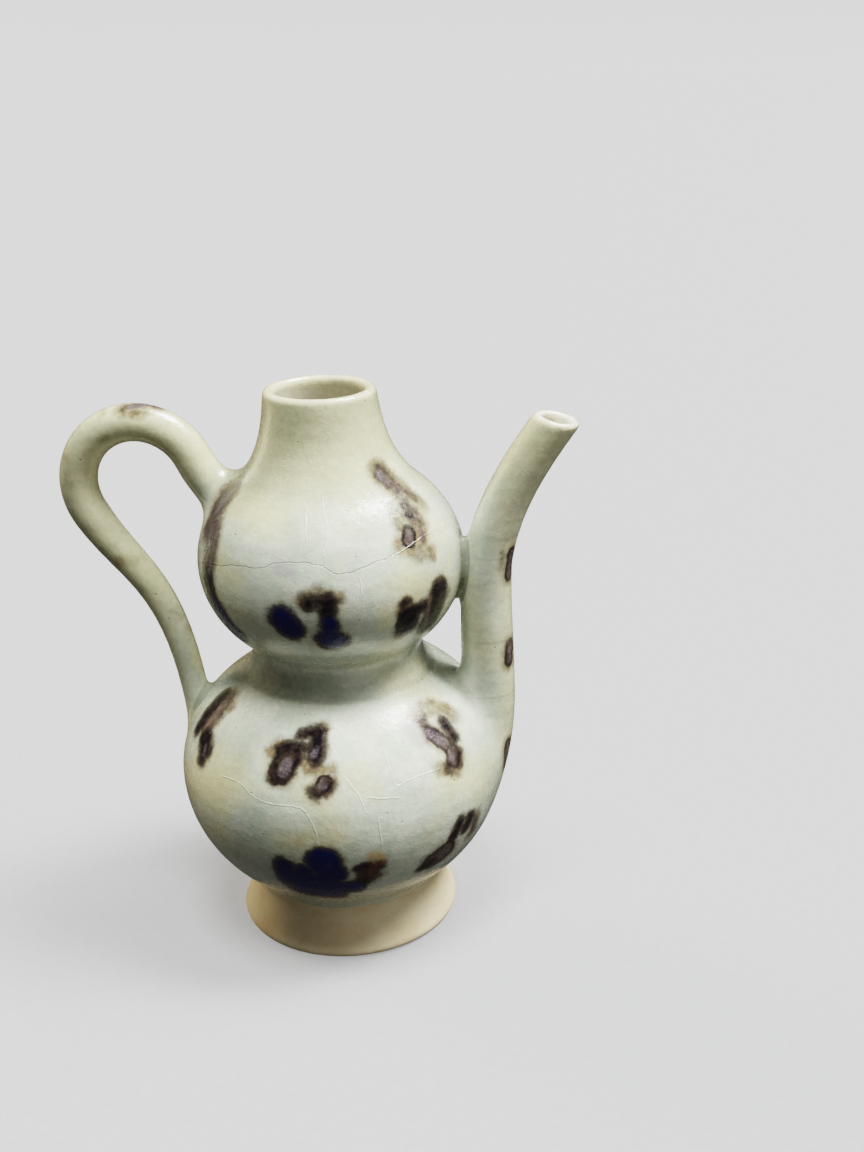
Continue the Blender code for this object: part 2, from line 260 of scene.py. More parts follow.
def outer_outline():
    """The body without its hollow, as a closed outline of (radius, height) that runs past the axis."""
    top = RECESS_RADIUS - RECESS_DRAFT
    corner = arc((top - RECESS_CORNER, RECESS_DEPTH - RECESS_CORNER), RECESS_CORNER, 90, 0, LIP_STEPS)
    recess = np.concatenate([[(-MARGIN, RECESS_DEPTH)], corner, [(RECESS_RADIUS, 0.0)]])
    return np.concatenate([recess, side_and_lip(*CURVE, 0, 90), [(-MARGIN, HEIGHT)]])


def inner_outline():
    """The hollow, as a closed outline that runs past the axis and out of the mouth."""
    heights, radii = inner_curve(*CURVE)
    wall = side_and_lip(heights, radii, 180, 90)
    past_mouth = [(wall[-1][0], HEIGHT + MARGIN), (-MARGIN, HEIGHT + MARGIN)]
    return np.concatenate([[(-MARGIN, heights[0])], wall, past_mouth])


# Routes in the plane Y = 0, given as (x, z)

def heading(degrees):
    return np.array([math.cos(math.radians(degrees)), math.sin(math.radians(degrees))])


def curve_between(start, leaving, end, arriving, pulls):
    """A bend that leaves its start by one heading and arrives at its end by another."""
    chord = np.linalg.norm(end - start)
    t = np.linspace(0.0, 1.0, BEND_STEPS + 1)[1:, None]
    first, second = start + leaving * chord * pulls[0], end - arriving * chord * pulls[1]
    early = (1 - t) ** 3 * start + 3 * (1 - t) ** 2 * t * first
    return early + 3 * (1 - t) * t ** 2 * second + t ** 3 * end


def handle_route():
    """The handle's centre line, and the number of the point where its loop ends."""
    centre = np.array([-UPPER_BELLY_RADIUS - HANDLE_STANDOFF, HANDLE_LOOP_HEIGHT])
    leaving = heading(180 - HANDLE_UPPER_ROOT_RISE)
    arriving = heading(HANDLE_LOWER_ROOT_SLANT - 90)
    upper = np.array([-body_radius(HANDLE_UPPER_ROOT_HEIGHT), HANDLE_UPPER_ROOT_HEIGHT]) - leaving * WALL
    lower = np.array([WALL / 2 - body_radius(HANDLE_LOWER_ROOT_HEIGHT), HANDLE_LOWER_ROOT_HEIGHT])
    loop = arc(centre, HANDLE_LOOP_RADIUS, HANDLE_LOOP_START, HANDLE_LOOP_END, LOOP_STEPS)
    rise = curve_between(upper, leaving, loop[0], heading(HANDLE_LOOP_START + 90), SHOULDER_PULLS)
    tail = curve_between(loop[-1], heading(HANDLE_LOOP_END + 90), lower, arriving, TAIL_PULLS)
    route = np.concatenate([[upper], rise, loop[1:], tail, [lower + arriving * WALL]])
    return route, len(rise) + len(loop)


def spout_route():
    """The spout's centre line, with its last point past the rim."""
    root = np.array([body_radius(SPOUT_ROOT_HEIGHT) - SPOUT_BASE_RADIUS - WALL / 2, SPOUT_ROOT_HEIGHT])
    bend = np.array([LOWER_BELLY_RADIUS - SPOUT_INSET, SPOUT_UPRIGHT_HEIGHT])
    tip = np.array([bend[0] + SPOUT_OVERHANG, SPOUT_TIP_HEIGHT])
    rise = curve_between(root, heading(SPOUT_ROOT_RISE), bend, heading(90), ROOT_PULLS)
    reach = curve_between(bend, heading(90), tip, heading(90 - SPOUT_TIP_LEAN), BEND_PULLS)
    past = tip + heading(90 - SPOUT_TIP_LEAN) * MARGIN
    return np.concatenate([[root], rise, reach, [past]])


def runs(route):
    """Distance of each point from the route's start."""
    return np.concatenate([[0.0], np.cumsum(np.linalg.norm(np.diff(route, axis=0), axis=1))])


# Distances, read from tables over two coordinates

class Table:
    """Values on a square grid over two coordinates, read between its points."""

    def __init__(self, low, high, measure):
        self.low = np.array(low, float)
        self.counts = [int(round((top - bottom) / TABLE_STEP)) + 1 for bottom, top in zip(low, high)]
        axes = [bottom + TABLE_STEP * np.arange(count) for bottom, count in zip(low, self.counts)]
        first, second = np.meshgrid(*axes, indexing="ij")
        self.values = [value.reshape(first.shape) for value in measure(first.ravel(), second.ravel())]

    def __call__(self, first, second):
        a = np.clip((first - self.low[0]) / TABLE_STEP, 0, self.counts[0] - LAST_CELL)
        b = np.clip((second - self.low[1]) / TABLE_STEP, 0, self.counts[1] - LAST_CELL)
        i, j = a.astype(int), b.astype(int)
        u, v = a - i, b - j
        found = []
        for value in self.values:
            low = value[i, j] * (1 - v) + value[i, j + 1] * v
            high = value[i + 1, j] * (1 - v) + value[i + 1, j + 1] * v
            found.append(low * (1 - u) + high * u)
        return found


def to_line(line, first, second):
    """Distance of each point to an open line, and how far along it, in points, the nearest place is."""
    nearest = np.full(first.shape, np.inf)
    place = np.zeros(first.shape)
    for index, (start, end) in enumerate(zip(line, line[1:])):
        run = end - start
        t = np.clip(((first - start[0]) * run[0] + (second - start[1]) * run[1]) / (run @ run), 0.0, 1.0)
        gap = (first - start[0] - t * run[0]) ** 2 + (second - start[1] - t * run[1]) ** 2
        closer = gap < nearest
        nearest = np.where(closer, gap, nearest)
        place = np.where(closer, index + t, place)
    return np.sqrt(nearest), place


def within(outline, first, second):
    """Whether each point lies inside a closed outline."""
    inside = np.zeros(first.shape, bool)
    for start, end in zip(outline, np.roll(outline, -1, axis=0)):
        spans = (start[1] > second) != (end[1] > second)
        slope = (end[0] - start[0]) / (end[1] - start[1]) if end[1] != start[1] else 0.0
        inside ^= spans & (first < start[0] + (second - start[1]) * slope)
    return inside


def outline_table(outline):
    """Distance to a closed outline, below zero inside it."""
    closed = np.concatenate([outline, outline[:1]])

    def measure(radius, height):
        distance = to_line(closed, radius, height)[0]
        return [np.where(within(outline, radius, height), -distance, distance)]

    high = (LOWER_BELLY_RADIUS + OUTLINE_REACH, HEIGHT + 2 * MARGIN)
    return Table((-MARGIN / 2, -2 * MARGIN), high, measure)


def tube_table(route, radii):
    """Distance to the route in its plane, and the tube's radius at the nearest place."""

    def measure(x, z):
        distance, place = to_line(route, x, z)
        return [distance, np.interp(place, np.arange(len(route)), radii)]

    return Table(route.min(axis=0) - TUBE_REACH, route.max(axis=0) + TUBE_REACH, measure)


def smooth_step(value):
    share = np.clip(value, 0.0, 1.0)
    return share * share * (3.0 - 2.0 * share)


def joined(first, second, reach):
    """Union of two distances, with a fillet of about half the given reach."""
    blend = np.maximum(reach - np.abs(first - second), 0.0) / reach
    return np.minimum(first, second) - blend ** 3 * reach / 6.0


def met(first, second, reach):
    """Intersection of two distances, with its edge rounded."""
    return -joined(-first, -second, reach)


class Ewer:
    """The whole vessel as one distance: below zero in the clay, above zero in the air."""

    def __init__(self):
        self.outer = outline_table(outer_outline())
        self.inner = outline_table(inner_outline())
        route, loop_end = handle_route()
        total = runs(route)
        tail = np.clip((total - total[loop_end]) / (total[-1] - total[loop_end]), 0.0, 1.0)
        thickness = HANDLE_RADIUS + (HANDLE_TAIL_RADIUS - HANDLE_RADIUS) * tail * (2.0 - tail)
        thickness = thickness + HANDLE_ROOT_FLARE * np.exp(-total / HANDLE_RADIUS)
        self.handle = tube_table(route, thickness)
        route = spout_route()
        share = runs(route) / runs(route)[-2]
        self.spout = tube_table(route, SPOUT_BASE_RADIUS + (SPOUT_TIP_RADIUS - SPOUT_BASE_RADIUS) * share)
        bore_base = SPOUT_BASE_RADIUS - SPOUT_WALL
        self.bore = tube_table(route, bore_base + (SPOUT_BORE_TIP_RADIUS - bore_base) * share)
        self.tip = np.array([route[-2][0], 0.0, route[-2][1]])
        tilt, turn = math.radians(SPOUT_RIM_TILT), math.radians(SPOUT_RIM_TURN)
        rim = np.array([math.sin(tilt), -math.sin(turn), math.cos(tilt)])
        self.rim = rim / np.linalg.norm(rim)
        far = np.interp(BRIDGE_HEIGHT, route[:, 1], route[:, 0])
        near = body_radius(BRIDGE_HEIGHT) - WALL / 2
        self.bridge_size = np.array([(far - near) / 2, BRIDGE_HALF_WIDTH, BRIDGE_HALF_HEIGHT])
        self.bridge_centre = np.array([(far + near) / 2, 0.0, BRIDGE_HEIGHT])

    def tube(self, table, points):
        distance, radius = table(points[:, 0], points[:, 2])
        return np.hypot(distance, points[:, 1]) - radius

    def bridge(self, points):
        """A lens of clay between the upper chamber and the spout."""
        offset = points - self.bridge_centre
        scaled = np.linalg.norm(offset / self.bridge_size, axis=1)
        steep = np.linalg.norm(offset / self.bridge_size ** 2, axis=1)
        outside = scaled * (scaled - 1.0) / np.maximum(steep, 1.0 / self.bridge_size.max())
        return np.where(scaled < 1.0, (scaled - 1.0) * self.bridge_size.min(), outside)

    def body(self, points, table):
        radius = np.hypot(points[:, 0] - lean(points[:, 2]), points[:, 1])
        return table(radius, points[:, 2])[0]

    def clay(self, points):
        """The solid form, before it is hollowed."""
        z = points[:, 2]
        above_waist = z > LOWER_BELLY_HEIGHT + LOWER_BELLY_RISE
        reach = np.where(above_waist, HANDLE_ROOT_FILLET, HANDLE_TAIL_FILLET)
        clay = joined(self.body(points, self.outer), self.tube(self.handle, points), reach)
        low = smooth_step((BRIDGE_HEIGHT - BRIDGE_HALF_HEIGHT - z) / BRIDGE_HALF_HEIGHT)
        reach = BRIDGE_FILLET + (SPOUT_ROOT_FILLET - BRIDGE_FILLET) * low
        spout = met(self.tube(self.spout, points), (points - self.tip) @ self.rim, SPOUT_RIM_ROUNDING)
        return joined(clay, joined(spout, self.bridge(points), BRIDGE_FILLET), reach)

    def hollow(self, points):
        return np.minimum(self.body(points, self.inner), self.tube(self.bore, points))

    def __call__(self, points):
        bored = met(self.clay(points), -self.tube(self.bore, points), SPOUT_RIM_ROUNDING)
        return np.maximum(bored, -self.body(points, self.inner))


# The fine surface

def sampled(field, low, counts, step):
    """Distances on a grid, worked out near the surface and repeated over blocks elsewhere."""
    blocks = -(-counts // BLOCK)
    middles = low + ((np.indices(blocks).reshape(3, -1).T + 0.5) * BLOCK - 0.5) * step
    rough = field(middles).reshape(blocks)
    for axis in range(3):
        rough = np.repeat(rough, BLOCK, axis=axis)
    values = rough[:counts[0], :counts[1], :counts[2]].copy()
    places = np.argwhere(np.abs(values) < BLOCK * step * BLOCK_REACH)
    values[tuple(places.T)] = field(low + places * step)
    return values


def surface_net(low, values, step):
    """Corners and quads of the zero surface, with one corner in each cell that it crosses."""
    strides = np.array([values.shape[1] * values.shape[2], values.shape[2], 1])
    keys, places, loops = [], [], []
    for axis in range(3):
        one, two = (axis + 1) % 3, (axis + 2) % 3
        near, far = np.delete(values, -1, axis), np.delete(values, 0, axis)
        edges = np.argwhere((near < 0.0) != (far < 0.0))
        start, end = near[tuple(edges.T)], far[tuple(edges.T)]
        crossing = edges.astype(float)
        crossing[:, axis] += start / (start - end)
        home = edges @ strides
        around = [home - strides[one] - strides[two], home - strides[two], home, home - strides[one]]
        keys += around
        places += [crossing] * 4
        loop = np.stack(around, axis=1)
        loops.append(np.where((start < 0.0)[:, None], loop, loop[:, ::-1]))
    cells, numbers = np.unique(np.concatenate(keys), return_inverse=True)
    count = np.bincount(numbers)
    places = np.concatenate(places)
    corners = np.stack([np.bincount(numbers, places[:, each]) / count for each in range(3)], axis=1)
    return low + corners * step, np.searchsorted(cells, np.concatenate(loops))


def evened(points, quads):
    """Each corner moved half way to the mean of its neighbours."""
    here, there = quads.ravel(), np.roll(quads, -1, axis=1).ravel()
    count = np.bincount(here, minlength=len(points))
    sums = [np.bincount(here, points[there, each], minlength=len(points)) for each in range(3)]
    return (points + np.stack(sums, axis=1) / count[:, None]) / 2


def slope(field, points):
    """The field's gradient and its value, from four probes around each point."""
    total = np.zeros(points.shape)
    value = np.zeros(len(points))
    for way in np.array([(1, -1, -1), (-1, -1, 1), (-1, 1, -1), (1, 1, 1)], float):
        found = field(points + way * PROBE)
        total += found[:, None] * way
        value += found
    return total / (4 * PROBE), value / 4


def settled(field, points, rounds):
    """The points moved onto the field's zero surface, and the surface's normals there."""
    for _ in range(rounds):
        steep, value = slope(field, points)
        points = points - (value / np.maximum((steep ** 2).sum(axis=1), LEAST_STEEP))[:, None] * steep
    steep = slope(field, points)[0]
    return points, steep / np.linalg.norm(steep, axis=1)[:, None]


# Places on the surface, by the angle from the spout towards the front and the height in millimetres

def place(degrees, height, radius=None):
    """A point on the body, or at a radius in millimetres from its axis."""
    z = height * MM
    out = body_radius(z) if radius is None else radius * MM
    angle = math.radians(degrees)
    return np.array([lean(z) + out * math.cos(angle), -out * math.sin(angle), z])


def to_stroke(points, stroke):
    """Distance to a run of strokes, in millimetres, and each point's offset from the nearest."""
    nearest = np.full(len(points), np.inf)
    nearest_offset = np.zeros(points.shape)
    nearest_run = np.ones(points.shape)
    ends = stroke if len(stroke) > 1 else [stroke[0], stroke[0] + DOT_LENGTH]
    for start, end in zip(ends, ends[1:]):
        run = end - start
        t = np.clip((points - start) @ run / (run @ run), 0.0, 1.0)
        offset = points - start - t[:, None] * run
        gap = (offset ** 2).sum(axis=1)
        closer = gap < nearest
        nearest = np.where(closer, gap, nearest)
        nearest_offset[closer] = offset[closer]
        nearest_run[closer] = run
    return np.sqrt(nearest) / MM, nearest_offset, nearest_run


# Irregularities of the hand-made surface, in millimetres along the normal, all inwards

THROWING_PITCH = 3.4
THROWING_DEPTH = 0.02
THROWING_LEAN = 0.02
WAVES = ((0.071, 0.035, 0.052, 0.4), (-0.048, 0.083, 0.061, 2.1), (0.037, -0.058, 0.094, 4.0))
WAVE_DEPTH = 0.07
RELIEF_START = 1.0
RELIEF_FADE = 4.0
DENTS = (
    ((4, 91, 39.6), 2.2, 0.45),
    ((3, 86, 39.2), 3.0, 0.35),
    ((12, 78, 37.0), 4.0, 0.20),
    ((60, 62, None), 9.0, 0.25),
    ((120, 30, None), 11.0, 0.25),
    ((250, 88, None), 10.0, 0.25),
)


def relief(points):
    """Soft waves, throwing rings and dents, fading out towards the ground."""
    x, y, z = (points / MM).T
    waves = sum(1.0 + np.sin(a * x + b * y + c * z + phase) for a, b, c, phase in WAVES)
    rings = 1.0 + np.sin(2 * math.pi * z / THROWING_PITCH + THROWING_LEAN * x)
    depth = waves * WAVE_DEPTH / 2 + rings * THROWING_DEPTH / 2
    for where, spread, deep in DENTS:
        gap = np.linalg.norm(points - place(*where), axis=1) / MM
        depth = depth + deep * np.exp(-(gap / spread) ** 2)
    return -depth * smooth_step((z - RELIEF_START) / RELIEF_FADE)


# The piece

def make_surface():
    """The vessel's form, and its surface as points, normals and quads."""
    field = Ewer()
    low, high = BOX[0] - MARGIN, BOX[1] + MARGIN
    counts = np.ceil((high - low) / NET_STEP).astype(int) + 1
    points, quads = surface_net(low, sampled(field, low, counts, NET_STEP), NET_STEP)
    points = settled(field, evened(points, quads), 1)[0]
    points, normals = settled(field, evened(points, quads), 2)
    return field, points, normals, quads


def added(name, data):
    """A new object in the scene."""
    item = bpy.data.objects.new(name, data)
    bpy.context.scene.collection.objects.link(item)
    return item


def make_piece(points, faces, name):
    mesh = bpy.data.meshes.new(name)
    mesh.from_pydata(points, [], faces)
    return added(name, mesh)


def thin_inside(piece, inside):
    """Fewer faces on the surface of the hollow, which hardly shows."""
    group = piece.vertex_groups.new(name="inside")
    group.add(np.nonzero(inside)[0].tolist(), 1.0, "REPLACE")
    modifier = piece.modifiers.new("thin_inside", "DECIMATE")
    modifier.vertex_group = group.name
    modifier.ratio = 1.0 - inside.mean() * (1.0 - INSIDE_SHARE)
    thinned_piece = piece.evaluated_get(bpy.context.evaluated_depsgraph_get())
    thinned_mesh = bpy.data.meshes.new_from_object(thinned_piece)
    piece.modifiers.clear()
    piece.vertex_groups.clear()
    piece.data = thinned_mesh
    thinned_mesh.name = piece.name


# Spots and tints: a half-width in millimetres, then a run of (degrees, height, radius if off the body)
SPOTS = {
    # Those at about 190 to 330 degrees are on the hidden side, and plainer
    "iron": (
        (2.5, (144, 88), (141, 83)), (1.2, (89, 87.7)), (1.5, (82, 88.2), (82, 85.5)),
        (0.9, (87, 88.5), (82, 88)), (2.3, (47, 82.2), (47, 79.5)), (0.9, (49, 85.3)),
        (1.0, (45, 82.8), (39, 83.4)), (2.7, (30, 85), (31, 82), (33, 78)),
        (1.5, (155, 58.3), (155, 55.5), (155, 51.5)), (2.2, (145, 51.4), (142, 50)), (1.5, (142, 48.2)),
        (1.1, (104, 55.2), (97, 55.7)), (0.7, (105, 53.7), (106, 50.8)), (0.7, (97, 54.1), (99, 51.5)),
        (0.6, (106, 50.1), (101, 50.1)), (1.5, (90, 57.9), (90, 54.3)), (0.9, (97, 57.6), (92, 58)),
        (0.6, (96, 55.9), (93, 55.6)), (0.6, (84, 50), (86, 48)), (0.6, (91, 48.4), (89, 47.3)),
        (0.5, (41, 57.1), (41, 55.7), (39, 54.3)), (0.9, (32, 55.5), (31, 52.3)),
        (0.8, (32, 49.4), (34, 47.8)), (0.8, (39, 47.9)), (0.7, (76, 29.9), (73, 30.5), (69, 29.8)),
        (1.0, (74, 28.4), (75, 25.2)), (1.1, (37.5, 34.4), (39.5, 31.4)), (1.1, (31.5, 34.3), (33.5, 32)),
        (0.8, (51, 25.2), (48, 26)), (0.8, (8, 89.8, 39.2), (7, 86.4, 39.1)),
        (2.2, (205, 103), (208, 98), (204, 94)), (1.9, (228, 84), (224, 80)), (1.2, (262, 99), (258, 95)),
        (1.8, (266, 86), (262, 82)), (1.3, (305, 95), (303, 90)), (1.9, (318, 81), (313, 78)),
        (2.1, (198, 55), (202, 51)), (1.1, (238, 57), (242, 53), (240, 50)), (1.2, (282, 56), (286, 51)),
        (1.9, (322, 54), (318, 50)), (2.1, (300, 32), (294, 29)),
    ),
    "navy": (
        (2.9, (141, 83), (137, 79.9), (133, 76.6)), (2.4, (101, 84.5), (98, 81.7)),
        (1.3, (82, 84.4), (81, 82.3)), (2.4, (82, 79.3), (80, 78.9)), (1.3, (46, 80.5)), (0.9, (90, 57.2)),
        (2.4, (102, 29.5), (102, 25.5)), (2.6, (96, 28), (95, 24)), (3.3, (88, 32.5), (86, 28.5)),
        (2.9, (89, 26), (84, 23)), (2.6, (99, 22.5), (86, 21)), (1.9, (80, 24), (77, 23.5)),
        (2.4, (227, 28.5), (217, 27)), (1.6, (214, 24.5), (208, 23.5)), (2.4, (272, 83), (276, 80)),
    ),
    "brown": (
        (2.2, (35, 109.2), (32, 107.5)), (1.3, (27, 106.5), (22, 103.6)), (1.0, (32, 105.4), (30, 103.7)),
        (1.5, (33, 102.8), (34, 100.8)), (0.9, (28, 102), (31, 99.7), (34, 97)),
        (3.0, (158, 104.4), (156, 101.4), (154, 98.1)),
        (2.7, (147, 98.2), (144, 95.1), (143, 91), (143, 87.8)),
        (2.6, (150, 58.5), (148, 56.2), (149, 53)), (2.0, (80, 23.5), (73, 26)), (1.3, (72, 30), (70, 27)),
        (1.2, (28, 33), (28, 29)), (1.1, (177, 120.7, 41.9), (179, 120.9, 38.7), (181, 120.3, 35.5)),
        (2.0, (214, 97), (218, 93)), (1.8, (246, 55), (250, 51)), (1.8, (306, 34), (310, 31)),
        (1.6, (252, 97), (249, 93)), (1.5, (284, 57), (289, 53)),
    ),
    "ring": (
        (1.5, (40, 98.8), (42, 97.4)), (0.9, (33, 103), (34, 101.6)), (2.5, (101, 53.9), (103, 51.2)),
        (1.3, (86, 50.1), (88.5, 48.6)), (1.8, (35, 50.1), (36, 48.8)), (2.7, (47, 26.6), (42, 27.9)),
        (1.6, (40, 54.3), (37, 52.2)), (1.8, (3, 88.6, 40), (3, 84.4, 39.5)),
        (1.6, (4, 67.9, 39.3), (5, 64.6, 39.2)), (1.6, (5, 43.7, 38.7), (4, 39.2, 37.5)),
        (1.9, (262, 98), (259, 95)), (2.0, (241, 54.5), (243, 51)), (1.7, (305, 94), (303, 91.5)),
    ),
    "bloom": (
        (1.0, (36, 109), (33, 107.6)), (0.5, (41, 98.2)), (1.2, (158, 104), (155, 100.7)),
        (0.8, (141, 93), (141, 90)), (0.8, (142, 50.3), (142, 48.9)), (1.3, (101, 52.9), (102, 51.3)),
        (0.7, (90, 55.7), (91, 54.4)), (1.0, (87, 49.3)), (1.1, (37, 49.3)), (1.2, (42, 55), (38, 52.8)),
        (1.4, (43.5, 27.7)), (0.4, (86, 31.8), (86, 30.6)), (1.1, (3, 87.5, 40.6), (3, 85.5, 40.3)),
        (1.1, (4, 67.2, 39.6), (5, 65.2, 39.5)), (1.1, (5, 42.7, 38.8), (4, 40.2, 38)),
        (0.8, (177, 121, 41), (180, 121, 37)), (1.1, (206, 100), (207, 97)), (1.1, (241, 54), (243, 52)),
        (1.0, (283, 54), (284, 53)), (1.0, (261, 97), (260, 96)),
    ),
    "streak": (
        (0.5, (36, 84.7), (36, 81.8), (36, 78.8)), (0.4, (150, 57.3), (148, 55.2), (150, 52.8)),
        (0.5, (203, 56), (205, 52)),
    ),
    "halo": (
        (2.5, (28, 107.3), (24, 104.9), (22, 102.6)), (1.8, (38, 95.4), (33, 94)),
        (2.1, (33, 103.5), (31, 99.5), (36, 96)), (1.5, (41, 102.8), (43, 99.8)),
        (2.0, (46, 97), (39, 94.9)), (1.7, (32, 99.2), (36, 95.8)),
        (1.4, (91, 88.7), (84, 90.4), (78, 89)), (1.7, (29, 86.1), (24, 83.8)), (1.5, (51, 83.7)),
        (1.3, (108, 54.3), (106, 55.7)), (1.5, (98, 57), (93, 58.2), (88, 58.7)),
        (1.3, (96, 54), (94, 53)), (1.2, (93, 52.1), (87, 52.5), (84, 52.1)),
        (1.9, (41, 58.5), (33, 58.3), (27, 56.9), (25, 55.4)), (1.3, (36, 46.5), (43, 48.5)),
        (1.5, (150, 59.5), (143, 58)), (1.0, (176, 119.8, 41.7), (176, 120, 37.5)),
        (1.9, (258, 101), (252, 98)), (1.7, (312, 97), (314, 93)), (1.6, (288, 59), (294, 56)),
        (1.7, (206, 58), (210, 55)),
    ),
    "lilac": (
        (2.8, (47, 57.4), (46, 55)), (1.3, (101, 95.1), (96, 94.2)), (1.8, (246, 58), (250, 56)),
    ),
    "rust": (
        (1.7, (71, 33), (69, 31.6)), (1.1, (70, 30), (74, 27.4)), (0.8, (95, 37.4)),
        (1.5, (206, 32), (203, 30)),
    ),
    "yellow": (
        (4.5, (140, 104), (111, 103)), (3.0, (135, 93), (122, 91)), (3.0, (52, 90), (38, 88)),
        (6.0, (145, 42), (128, 48)), (5.0, (40, 46), (24, 42)), (3.0, (100, 37), (84, 39)),
        (4.0, (238, 104), (262, 101)), (4.5, (205, 68), (190, 62)), (3.5, (300, 44), (316, 40)),
    ),
}

# Pale raised crackle, and the dark hairline
LINES = {
    "crackle": (
        ((127, 47.5), (119, 47.5), (111, 45.5), (104, 45), (95, 45), (91, 42.5), (88, 35.5)),
        ((79, 50.5), (75, 47.5), (73, 44)), ((63, 54.5), (62, 50), (61, 48), (54, 48.5), (43, 48.5)),
        ((71, 46.5), (61, 45.5)), ((69, 42), (68, 35.5)), ((130, 58), (116, 59.5)),
        ((53, 95.5), (45, 96.2), (35, 97.1), (26, 97.5), (14, 97.1)),
        ((45, 104), (39, 102.3), (30, 100), (20, 96.7)),
        ((82, 106.5), (81, 103.8), (80, 101.1), (82, 97.8)), ((92, 105), (90, 99.9)),
        ((68, 92.5), (68, 89.1)), ((240, 44), (252, 46), (262, 43), (275, 45), (282, 41)),
        ((252, 46), (250, 39), (246, 33)), ((275, 45), (279, 52), (290, 55)),
        ((205, 44), (216, 42), (222, 36)), ((310, 46), (318, 43), (331, 45)),
    ),
    "hair": (
        ((148, 91), (134, 92.5), (120, 93.9), (109, 94.4), (105, 95.3), (97, 96), (88, 95.9),
         (83, 95.2), (78, 93.9), (71, 93.7), (67, 94.4), (56, 95.3), (52, 95.7)),
    ),
}

# How far spots are kept from the hollow, and the furthest distance stored, in millimetres
INSIDE_PUSH = 20.0
STORED_LIMIT = 40.0


def on_spot(ends):
    return [place(*end) for end in ends]


def spot_distance(points, kind):
    """Distance in millimetres from the edge of the nearest spot of a kind, below zero inside it."""
    strokes = [(row[0], on_spot(row[1:])) for row in SPOTS[kind]]
    return np.min([to_stroke(points, stroke)[0] - half for half, stroke in strokes], axis=0)


def rounded(line):
    """A line of points drawn as a smooth curve through them."""
    ends = np.array([2 * line[0] - line[1]] + list(line) + [2 * line[-1] - line[-2]])
    curve = []
    for before, start, end, after in zip(ends, ends[1:], ends[2:], ends[3:]):
        square = 2 * before - 5 * start + 4 * end - after
        cube = 3 * start - before - 3 * end + after
        for t in np.arange(STROKE_STEPS) / STROKE_STEPS:
            curve.append(start + ((end - before) * t + (square * t ** 2 + cube * t ** 3)) / 2)
    return curve + [line[-1]]


def line_sides(points, normals, lines):
    """Distance to the nearest line, signed by its side, and without the sign."""
    side, gap = np.full(len(points), np.inf), np.full(len(points), np.inf)
    for line in lines:
        distance, offset, run = to_stroke(points, rounded(on_spot(line)))
        sign = np.sign((np.cross(run, normals) * offset).sum(axis=1))
        closer = distance < gap
        side = np.where(closer, sign * distance, side)
        gap = np.where(closer, distance, gap)
    return side, gap


def curvature(field, points):
    """Sum of the surface's two curvatures, per millimetre, above zero where it bulges."""
    total = -6.0 * field(points)
    for way in np.concatenate([np.eye(3), -np.eye(3)]):
        total = total + field(points + way * CURVATURE_PROBE)
    return total / CURVATURE_PROBE ** 2 * MM


def corner_values(mesh, name):
    values = np.empty(len(mesh.vertices) * 3, np.float32)
    mesh.vertices.foreach_get(name, values)
    return values.reshape(-1, 3).astype(float)


def name_surface(mesh, field):
    """Stores what the glaze needs to know at each corner of the mesh."""
    points, normals = corner_values(mesh, "co"), corner_values(mesh, "normal")
    inside = field.hollow(points) < WALL / 2
    hidden = np.where(inside, INSIDE_PUSH, 0.0)
    found = {kind: spot_distance(points, kind) + hidden for kind in SPOTS}
    for name, lines in LINES.items():
        found[name + "_side"], gap = line_sides(points, normals, lines)
        found[name + "_gap"] = gap + hidden
    found["bend"] = curvature(field, points)
    found["hollow"] = inside.astype(float)
    for name, values in found.items():
        attribute = mesh.attributes.new(name, "FLOAT", "POINT")
        stored = np.clip(values, -STORED_LIMIT, STORED_LIMIT).astype(np.float32)
        attribute.data.foreach_set("value", stored)


# Materials

def light_share(channel):
    """A channel from 0 to 255 as a share of light."""
    share = channel / 255
    return share / 12.92 if share < 0.04045 else ((share + 0.055) / 1.055) ** 2.4


def colour(*channels):
    """A colour given as it looks, from 0 to 255."""
    return [light_share(channel) for channel in channels] + [1.0]


